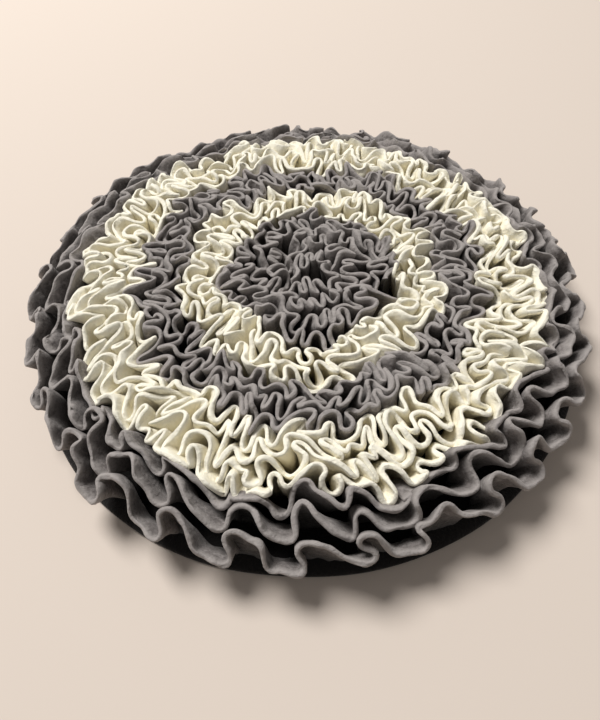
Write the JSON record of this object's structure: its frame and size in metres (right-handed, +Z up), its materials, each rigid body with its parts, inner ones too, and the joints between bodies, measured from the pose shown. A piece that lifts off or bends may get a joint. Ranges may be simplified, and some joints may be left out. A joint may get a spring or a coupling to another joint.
{
  "type": "snuffle mat",
  "caption": "Round fleece snuffle mat: a flat base cloth with rings of gathered ruffles in grey and cream zones, pet treats are hidden in the folds.",
  "frame": {"origin": "centre of the base cloth's underside, on the floor", "axes": "+Z up out of the mat, towards the free edges of the ruffles; the mat has no front, and -Y is the side nearest the camera in the picture"},
  "size_m": [0.4552, 0.4565, 0.0523],
  "materials": {
    "grey_fleece": "matte brushed fleece",
    "cream_fleece": "matte brushed fleece"
  },
  "bodies": {
    "root": {"base_cloth": "grey_fleece", "ruffle_rim_grey_1": "grey_fleece", "ruffle_rim_grey_2": "grey_fleece", "ruffle_rim_grey_3": "grey_fleece", "ruffle_outer_cream_1": "cream_fleece", "ruffle_outer_cream_2": "cream_fleece", "ruffle_outer_cream_3": "cream_fleece", "ruffle_outer_cream_4": "cream_fleece", "ruffle_middle_grey_1": "grey_fleece", "ruffle_middle_grey_2": "grey_fleece", "ruffle_middle_grey_3": "grey_fleece", "ruffle_inner_cream_1": "cream_fleece", "ruffle_inner_cream_2": "cream_fleece", "ruffle_inner_cream_3": "cream_fleece", "ruffle_centre_grey": "grey_fleece"}
  },
  "joints": []
}
